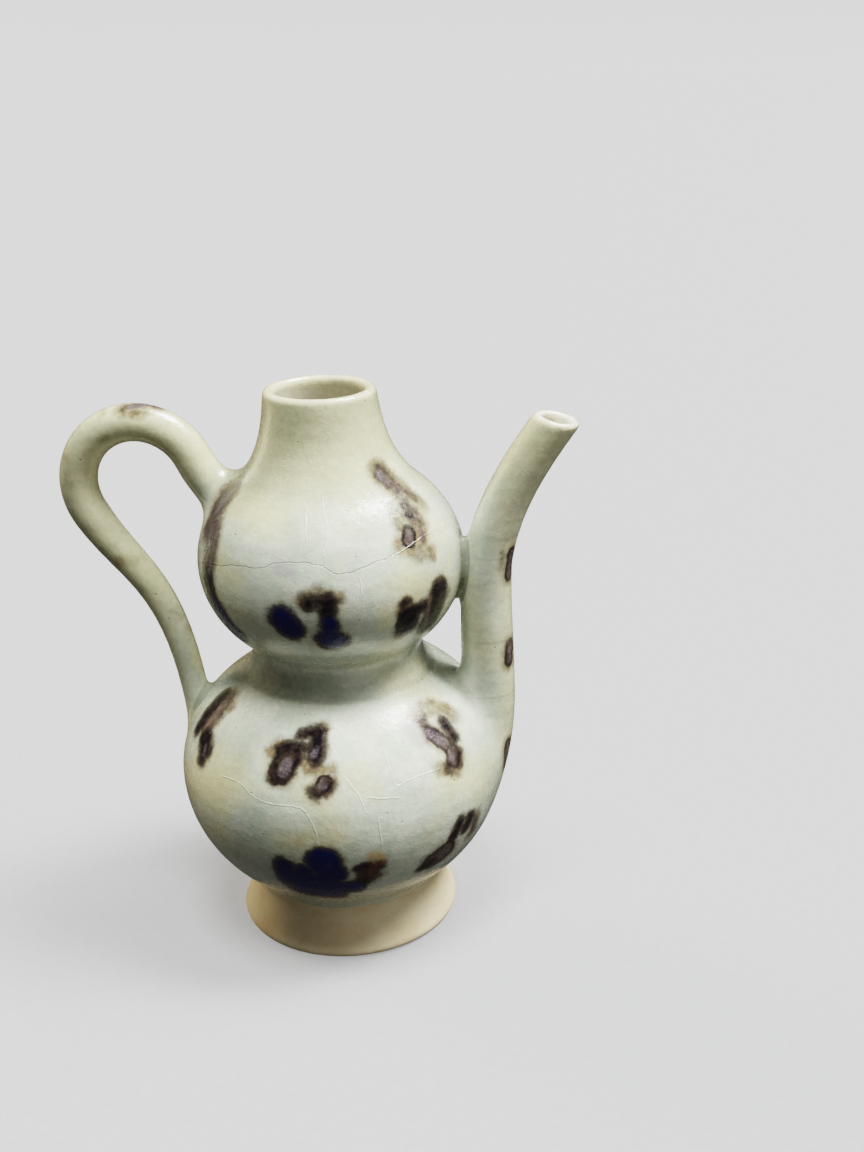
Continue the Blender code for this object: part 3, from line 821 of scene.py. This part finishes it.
class Shader:
    """A material made of nodes. A node's value is a number, a colour or another node's output."""

    def __init__(self, name):
        self.material = bpy.data.materials.new(name)
        self.material.use_nodes = True
        self.tree = self.material.node_tree
        self.surface = self.tree.nodes["Principled BSDF"]
        self.mm = self.scaled(self.node("ShaderNodeTexCoord").outputs["Object"], 1.0 / MM)

    def node(self, kind, values=(), **settings):
        node = self.tree.nodes.new(kind)
        for name, value in settings.items():
            setattr(node, name, value)
        for name, value in dict(values).items():
            self.set(node.inputs[name], value)
        return node

    def set(self, socket, value):
        if isinstance(value, bpy.types.NodeSocket):
            self.tree.links.new(value, socket)
        else:
            socket.default_value = value

    def give(self, name, value):
        """Sets one of the surface's own values."""
        self.set(self.surface.inputs[name], value)

    def math(self, operation, first, second=0.0, third=0.0):
        values = {0: first, 1: second, 2: third}
        return self.node("ShaderNodeMath", values, operation=operation).outputs[0]

    sum = partialmethod(math, "ADD")
    less = partialmethod(math, "SUBTRACT")
    times = partialmethod(math, "MULTIPLY")
    most = partialmethod(math, "MAXIMUM")
    least = partialmethod(math, "MINIMUM")
    size = partialmethod(math, "ABSOLUTE")

    def span(self, value, start, end, low=0.0, high=1.0):
        """Goes smoothly from low to high as the value goes from start to end."""
        values = {"Value": value, "From Min": start, "From Max": end, "To Min": low, "To Max": high}
        return self.node("ShaderNodeMapRange", values, interpolation_type="SMOOTHSTEP").outputs[0]

    def swing(self, noise, reach):
        """Noise turned into a swing of up to half the reach to either side."""
        return self.math("MULTIPLY_ADD", noise, reach, -reach / 2)

    def stirred(self, value, noise, reach):
        """A value with noise added, so that an edge drawn by it is uneven."""
        return self.sum(value, self.times(noise, reach))

    def vector(self, operation, first, second):
        return self.node("ShaderNodeVectorMath", {0: first, 1: second}, operation=operation).outputs[0]

    def scaled(self, vector, factor):
        values = {0: vector, "Scale": factor}
        return self.node("ShaderNodeVectorMath", values, operation="SCALE").outputs[0]

    def shifted(self, offset):
        return self.vector("ADD", self.mm, (offset, offset / 2, -offset))

    def mix(self, share, first, second):
        values = {0: share, 6: first, 7: second}
        return self.node("ShaderNodeMix", values, data_type="RGBA").outputs[2]

    def attribute(self, name):
        return self.node("ShaderNodeAttribute", attribute_name=name).outputs["Fac"]

    def noise(self, size, detail=3.0, roughness=0.5, vector=None):
        """Noise with waves of about the given size in millimetres."""
        place_in = self.mm if vector is None else vector
        values = {"Vector": place_in, "Scale": 1.0 / size, "Detail": detail, "Roughness": roughness}
        return self.node("ShaderNodeTexNoise", values).outputs[0]

    def cells(self, vector, size, feature="F1"):
        values = {"Vector": vector, "Scale": 1.0 / size}
        return self.node("ShaderNodeTexVoronoi", values, feature=feature)

    def bump(self, height, depth, normal=None):
        values = {"Height": height, "Distance": depth * MM, "Strength": 1.0}
        if normal is not None:
            values["Normal"] = normal
        return self.node("ShaderNodeBump", values).outputs[0]


GLAZE_COOL = colour(190, 199, 182)
GLAZE_PALE = colour(204, 208, 192)
GLAZE_CREAM = colour(205, 202, 163)
# Pooled glaze, dark enough to stand also as painted shade in hollows
GLAZE_POOL_AND_SHADE = colour(104, 110, 86)
GLAZE_THIN = colour(218, 212, 178)
GLAZE_PINK = colour(202, 188, 172)
GLAZE_YELLOW = colour(206, 200, 150)
# Paler glaze for the hollow, as painted light
INSIDE_PAINTED_LIGHT = colour(236, 231, 212)
# Brown stain, which also serves as painted shade on the handle
GLAZE_STAIN_AND_SHADE = colour(140, 124, 88)
GLAZE_SPECK = colour(84, 74, 60)
CLAY = colour(214, 202, 170)
CLAY_WARM = colour(204, 178, 142)
IRON_BLACK = colour(26, 22, 25)
IRON_BROWN = colour(60, 50, 46)
NAVY = colour(20, 28, 94)
PLUM = colour(46, 40, 58)
BRUSHED = colour(86, 73, 54)
MAUVE = colour(100, 88, 90)
HALO = colour(142, 118, 76)
STREAK = colour(132, 114, 102)
LILAC = colour(110, 102, 112)
LILAC_PALE = colour(176, 172, 172)
CRYSTAL = colour(170, 165, 172)
RUST = colour(116, 78, 54)
GOLD = colour(192, 162, 112)
CRACK_PALE = colour(230, 232, 220)
CRACK_DARK = colour(112, 114, 106)

# Heights of the spout's marks and the glaze line, and half-widths of the cracks, in millimetres
SPOUT_MARKS = (88.7, 69.5, 56.5)
GLAZE_LINE = FOOT_HEIGHT / MM - 0.4
GLAZE_FADE = 0.4
CRACKLE_HALF = 0.22
HAIRLINE_HALF = 0.17
CRACK_REACH = 1.6

# Fine relief in millimetres, and gloss
PEEL_DEPTH = 0.07
GRAIN_DEPTH = 0.045
CRACK_DEPTH = 0.055
CRYSTAL_DEPTH = 0.03
GLAZE_ROUGHNESS = (0.15, 0.30)
SPOT_ROUGHNESS = 0.12
CLAY_ROUGHNESS = 0.68
COAT_WEIGHT = 0.7
COAT_ROUGHNESS = 0.17


class Glaze(Shader):
    """A material whose tone is laid on in layers, which share their noises."""

    def __init__(self, name):
        super().__init__(name)
        place_in = self.node("ShaderNodeSeparateXYZ", {0: self.mm})
        self.across, self.height = place_in.outputs["X"], place_in.outputs["Z"]
        self.cloud = self.noise(6.0, 4.0, 0.6)
        self.mottle = self.noise(1.3, 4.0, 0.65)
        self.grain = self.noise(0.45, 3.0, 0.6)
        self.wander = self.swing(self.noise(2.2, 2.0), 0.8)
        bleed = self.swing(self.noise(2.8), 2.0)
        self.edge = self.sum(bleed, self.swing(self.noise(0.8, 3.0, 0.6), 0.8))
        self.tone = self.mix(self.span(self.cloud, 0.36, 0.62), GLAZE_COOL, GLAZE_PALE)

    def cover(self, share, tint):
        """Lays a tint over the tone so far."""
        self.tone = self.mix(share, self.tone, tint)

    def spot(self, kind, raggedness=1.0):
        """Distance from the spots of a kind, with their edges bled into the glaze."""
        return self.stirred(self.attribute(kind), self.edge, raggedness)

    def line(self, name, half):
        """The drawn lines of a kind, wavering a little."""
        side = self.size(self.sum(self.attribute(name + "_side"), self.wander))
        near = self.span(self.attribute(name + "_gap"), CRACK_REACH, CRACK_REACH * 0.6)
        return self.times(self.span(side, half, half * 0.3), near)


def lay_tints(s):
    """Cream on the neck, the handle and the spout's end, pooled in hollows and darkened there as painted
    shade, thin on edges.
    """
    warm = s.noise(17.0, vector=s.shifted(40.0))
    high = s.span(s.stirred(s.height, s.noise(24.0, 2.0), 16.0), 104.0, 120.0)
    back = s.span(s.stirred(s.across, s.cloud, 6.0), -24.0, -34.0)
    out = s.span(s.stirred(s.across, s.cloud, 4.0), 38.0, 44.0)
    cream = s.most(s.most(high, back), s.times(out, 0.8))
    s.cover(s.most(s.times(cream, 0.85), s.span(warm, 0.5, 0.66, 0.0, 0.6)), GLAZE_CREAM)
    yellow = s.stirred(s.attribute("yellow"), s.sum(s.cloud, -0.5), 8.0)
    s.cover(s.span(yellow, 3.0, -3.5, 0.0, 0.5), GLAZE_YELLOW)
    blush = s.noise(3.2, 4.0, 0.65, s.shifted(90.0))
    s.cover(s.span(blush, 0.58, 0.74, 0.0, 0.45), GLAZE_PINK)
    bend = s.attribute("bend")
    # Glaze pooled in hollows, darker and greener, which also paints the shade of creases and joins
    s.cover(s.span(bend, -0.03, -0.35, 0.0, 0.62), GLAZE_POOL_AND_SHADE)
    s.cover(s.span(bend, 0.3, 0.9, 0.0, 0.8), GLAZE_THIN)
    # Brown stain patches on the handle's side, also painted shade of that side
    stain_and_shade_patches = s.span(s.noise(9.0, vector=s.shifted(10.0)), 0.52, 0.68)
    stain_and_shade = s.times(stain_and_shade_patches, s.span(s.across, -26.0, -34.0))
    s.cover(s.times(stain_and_shade, 0.6), GLAZE_STAIN_AND_SHADE)
    # Painted light: the hollow below the mouth made paler, for the light that falls into it
    inside = s.times(s.attribute("hollow"), s.span(s.height, 124.0, 120.0))
    s.cover(s.times(inside, 0.9), INSIDE_PAINTED_LIGHT)
    smudge = s.noise(12.0, vector=s.vector("MULTIPLY", s.shifted(60.0), (1.0, 1.0, 1.4)))
    shade = s.sum(s.times(s.mottle, 0.44), s.span(smudge, 0.32, 0.68, 0.69, 0.86))
    s.tone = s.scaled(s.tone, shade)


def lay_specks(s):
    """Pinholes, in a few cells of a fine net."""
    pits = s.cells(s.mm, 2.6)
    number = s.node("ShaderNodeSeparateXYZ", {0: pits.outputs["Color"]}).outputs["X"]
    speck = s.times(s.span(pits.outputs["Distance"], 0.10, 0.05), s.span(number, 0.76, 0.80))
    s.cover(s.times(speck, 0.6), GLAZE_SPECK)
    return speck


def lay_cracks(s):
    """Crackle, raised and pale, with a fainter net of it, and the dark hairline."""
    drift = s.node("ShaderNodeTexNoise", {"Vector": s.mm, "Scale": 0.12, "Detail": 3.0}).outputs[1]
    drifted = s.vector("ADD", s.mm, s.scaled(drift, 7.0))
    net = s.cells(drifted, 15.0, "DISTANCE_TO_EDGE").outputs["Distance"]
    fine_net = s.times(s.span(net, 0.010, 0.003), s.span(s.cloud, 0.45, 0.58))
    crackle = s.most(s.line("crackle", CRACKLE_HALF), s.times(fine_net, 0.2))
    s.cover(s.times(crackle, 0.45), CRACK_PALE)
    hairline = s.line("hair", HAIRLINE_HALF)
    s.cover(s.times(hairline, 0.5), CRACK_DARK)
    return crackle, hairline


def lay_spout_marks(s):
    """Faint throwing marks round the spout."""
    marks = 0.0
    for level in SPOUT_MARKS:
        away = s.size(s.stirred(s.sum(s.height, -level), s.wander, 0.5))
        marks = s.most(marks, s.span(away, 0.5, 0.1))
    marks = s.times(marks, s.span(s.across, 33.0, 35.0))
    s.cover(s.times(marks, 0.22), CRACK_DARK)


def lay_spots(s):
    """Iron spots: halos, brushed brown, dark rims, and black or blue where the iron is dense."""
    iron, navy, brown, ring = s.spot("iron"), s.spot("navy"), s.spot("brown", 1.2), s.spot("ring", 0.7)
    dark = s.least(iron, navy)
    near = s.least(s.least(dark, brown), ring)
    s.cover(s.span(s.spot("lilac"), 1.0, -1.4, 0.0, 0.8), LILAC_PALE)
    halo = s.most(s.span(near, 2.2, 0.0, 0.0, 0.75), s.span(s.spot("halo", 1.2), 1.5, -0.9, 0.0, 0.9))
    halo = s.times(halo, s.span(s.cloud, 0.3, 0.6, 0.65, 1.0))
    s.cover(halo, s.mix(s.span(s.mottle, 0.4, 0.7), BRUSHED, HALO))
    veil = s.mix(s.span(s.cloud, 0.4, 0.6), BRUSHED, MAUVE)
    brushed = s.mix(s.span(s.mottle, 0.36, 0.60), IRON_BROWN, veil)
    s.cover(s.span(s.least(brown, ring), 0.7, -0.8, 0.0, 0.88), brushed)
    rim = s.span(s.size(s.sum(ring, 0.15)), 0.65, 0.1)
    s.cover(s.times(rim, s.span(s.cloud, 0.36, 0.56, 0.45, 0.85)), IRON_BLACK)
    s.cover(s.span(dark, 1.4, 0.2, 0.0, 0.75), IRON_BROWN)
    black = s.mix(s.span(s.mottle, 0.42, 0.70), IRON_BLACK, IRON_BROWN)
    blue = s.mix(s.span(s.mottle, 0.55, 0.80), NAVY, PLUM)
    dense = s.span(dark, 0.9, -0.9)
    s.cover(dense, s.mix(s.span(s.less(iron, navy), -0.8, 0.8), black, blue))
    return near, dense


def lay_blooms(s, dense):
    """Rusty and golden tips, streaks, and the crystals grown in the spots."""
    rust = s.times(s.span(s.spot("rust"), 1.1, -1.3, 0.0, 0.95), s.span(s.mottle, 0.38, 0.62, 0.45, 1.0))
    s.cover(rust, s.mix(s.span(s.stirred(s.height, s.mottle, 3.0), 32.0, 34.0), RUST, GOLD))
    s.cover(s.span(s.spot("streak", 0.6), 0.6, -0.5, 0.0, 0.5), STREAK)
    glitter = s.span(s.cells(s.mm, 0.55).outputs["Distance"], 0.40, 0.15)
    bloom = s.span(s.spot("bloom", 0.5), 0.3, -0.6)
    crystals = s.mix(s.times(glitter, 0.5), s.mix(s.span(s.grain, 0.35, 0.65), MAUVE, LILAC), CRYSTAL)
    s.cover(s.times(bloom, s.span(s.mottle, 0.35, 0.62, 0.3, 0.75)), crystals)
    return s.times(glitter, s.most(bloom, s.times(dense, 0.4)))


def lay_foot(s):
    """Bare clay on the foot and under it, up to a wavy glaze line."""
    line = s.sum(s.height, s.swing(s.noise(9.0, 2.0), 1.6))
    below = s.span(line, GLAZE_LINE, GLAZE_LINE - GLAZE_FADE)
    bare = s.times(below, s.span(s.attribute("hollow"), 0.6, 0.4))
    clay = s.mix(s.span(s.cloud, 0.4, 0.7, 0.0, 0.6), CLAY, CLAY_WARM)
    s.cover(bare, s.scaled(clay, s.math("MULTIPLY_ADD", s.mottle, 0.14, 0.93)))
    return bare


def glaze():
    s = Glaze("glaze")
    lay_tints(s)
    speck = lay_specks(s)
    crackle, hairline = lay_cracks(s)
    lay_spout_marks(s)
    near, dense = lay_spots(s)
    crystals = lay_blooms(s, dense)
    bare = lay_foot(s)
    s.give("Base Color", s.tone)

    # A soft shine on the glaze, duller on the spots and on bare clay
    shine = s.span(s.noise(0.9), 0.3, 0.7, *GLAZE_ROUGHNESS)
    shine = s.sum(shine, s.span(near, 1.0, -1.0, 0.0, SPOT_ROUGHNESS))
    rough = s.node("ShaderNodeMix", {0: bare, 2: shine, 3: CLAY_ROUGHNESS}, data_type="FLOAT")
    s.give("Roughness", rough.outputs[0])

    # Orange peel, grain, crackle and crystals as fine relief
    glassy = s.less(1.0, bare)
    sunk = s.sum(hairline, s.times(speck, 1.5))
    normal = s.bump(s.times(s.noise(1.5, 2.0), glassy), PEEL_DEPTH)
    normal = s.bump(s.grain, GRAIN_DEPTH, normal)
    normal = s.bump(s.less(crackle, sunk), CRACK_DEPTH, normal)
    normal = s.bump(crystals, CRYSTAL_DEPTH, normal)
    s.give("Normal", normal)
    s.give("Coat Normal", normal)
    s.give("Coat Weight", s.times(glassy, COAT_WEIGHT))
    s.give("Coat Roughness", COAT_ROUGHNESS)
    return s.material


# Stage, lights and camera

FLOOR_RADIUS = 5.0
FLOOR_RINGS = (0.3, 1.0, 4.0)
FLOOR_SIDES = 72
SWEEP_RADIUS = 3.0
SWEEP_STEPS = 16
BACKDROP_TOP = 9.0
FLOOR_DROP = 0.0001
FLOOR_GLOW = 0.3
FLOOR_ROUGHNESS = 0.9
FLOOR_GREY = colour(126, 127, 130)
FLOOR_PALE = colour(132, 133, 136)
WORLD_TINT = colour(220, 216, 210)
WORLD_STRENGTH = 0.1


def floor_paper():
    s = Shader("floor_paper")
    fibre = s.noise(2.0, 4.0, 0.6)
    s.give("Base Color", s.mix(s.span(fibre, 0.3, 0.7), FLOOR_GREY, FLOOR_PALE))
    s.give("Roughness", FLOOR_ROUGHNESS)
    s.give("Emission Color", (1.0, 1.0, 1.0, 1.0))
    s.give("Emission Strength", FLOOR_GLOW)
    return s.material


def make_floor():
    """A round floor whose edge sweeps up all round into a backdrop."""
    flat = [(radius, 0.0) for radius in FLOOR_RINGS]
    sweep = arc((FLOOR_RADIUS, SWEEP_RADIUS), SWEEP_RADIUS, -90, 0, SWEEP_STEPS)
    outline = np.concatenate([flat, sweep, [(FLOOR_RADIUS + SWEEP_RADIUS, BACKDROP_TOP)]])
    ways = [heading(360 / FLOOR_SIDES * side) for side in range(FLOOR_SIDES)]
    points = [(*(way * radius), height) for radius, height in outline for way in ways]
    inner = np.arange(FLOOR_SIDES)
    after = np.roll(inner, -1)
    ring = np.stack([inner, inner + FLOOR_SIDES, after + FLOOR_SIDES, after], axis=1)
    faces = [inner.tolist()]
    for number in range(len(outline) - 1):
        faces += (ring + number * FLOOR_SIDES).tolist()
    floor = make_piece(points, faces, "floor")
    floor.data.shade_smooth()
    floor.data.materials.append(floor_paper())
    floor.location.z = -FLOOR_DROP
    floor.visible_diffuse = False
    floor.visible_glossy = False
    floor.visible_shadow = False


def make_world():
    world = bpy.data.worlds.new("studio")
    world.use_nodes = True
    background = world.node_tree.nodes["Background"]
    background.inputs["Color"].default_value = WORLD_TINT
    background.inputs["Strength"].default_value = WORLD_STRENGTH
    bpy.context.scene.world = world


def make_light(name, towards, spread, strength, tint, glint=False, fill=True):
    """A distant soft light. A glint is mirrored in the glaze, and a fill brightens it."""
    data = bpy.data.lights.new(name, "SUN")
    data.angle = math.radians(spread)
    data.energy = strength
    data.color = tint
    light = added(name, data)
    way = Vector(towards).normalized()
    light.rotation_euler = way.to_track_quat("Z", "Y").to_euler()
    light.visible_glossy = glint
    light.visible_diffuse = fill


def set_tones():
    """The tones of a photograph: bright parts held back, shadows deep."""
    view = bpy.context.scene.view_settings
    view.view_transform = "Filmic"
    view.look = "High Contrast"


def make_camera():
    """The viewpoint of the photograph, 29 cm away, 20 cm up and 11 degrees round from the front."""
    turn, distance, up = math.radians(11), 0.29047, 0.19588
    pan, tilt, roll = math.radians(-4.249), math.radians(21.498), math.radians(-1.634)
    data = bpy.data.cameras.new("camera")
    data.sensor_fit = "VERTICAL"
    data.sensor_height = 36.0
    data.lens = 44.32
    data.clip_start = 0.01
    camera = added("camera", data)
    aim = Matrix.Rotation(turn + pan, 4, "Z") @ Matrix.Rotation(math.pi / 2 - tilt, 4, "X")
    aim = aim @ Matrix.Rotation(roll, 4, "Z")
    where = Vector((AXIS_X + distance * math.sin(turn), -distance * math.cos(turn), up))
    camera.matrix_world = Matrix.Translation(where) @ aim
    bpy.context.scene.camera = camera


def make_ewer():
    field, points, normals, quads = make_surface()
    deep = (field.hollow(points) < WALL / 4) & (points[:, 2] < HEIGHT - MOUTH_REACH)
    points = points + normals * (relief(points) * MM)[:, None]
    piece = make_piece(points, quads, "ewer_glazed")
    thin_inside(piece, deep)
    name_surface(piece.data, field)
    for vertex in piece.data.vertices:
        vertex.co = np.clip(vertex.co, *BOX) + (AXIS_X, 0.0, 0.0)
    piece.data.shade_smooth()
    piece.data.materials.append(glaze())
    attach(piece, "root")
    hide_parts("ewer")


make_camera()
make_ewer()
make_floor()
make_world()
make_light("key", (0.54, 0.05, 0.84), 17, 3.5, (1.0, 0.985, 0.95))
make_light("high", (0.40, 0.10, 0.91), 24, 1.7, (1.0, 0.99, 0.97))
make_light("glint", (0.36, 0.27, 0.89), 26, 5.5, (1.0, 1.0, 1.0), glint=True, fill=False)
make_light("overhead", (0.0, -0.22, 0.975), 20, 3.4, (0.98, 1.0, 0.99))
make_light("side", (0.86, -0.25, 0.42), 40, 0.7, (1.0, 1.0, 0.98))
make_light("low", (0.15, -0.85, -0.50), 60, 0.17, (1.0, 0.97, 0.95))
make_light("warm", (-0.85, 0.50, 0.30), 24, 2.3, (1.0, 0.84, 0.64))
set_tones()


def corners(box):
    return [list(corner) for corner in box]
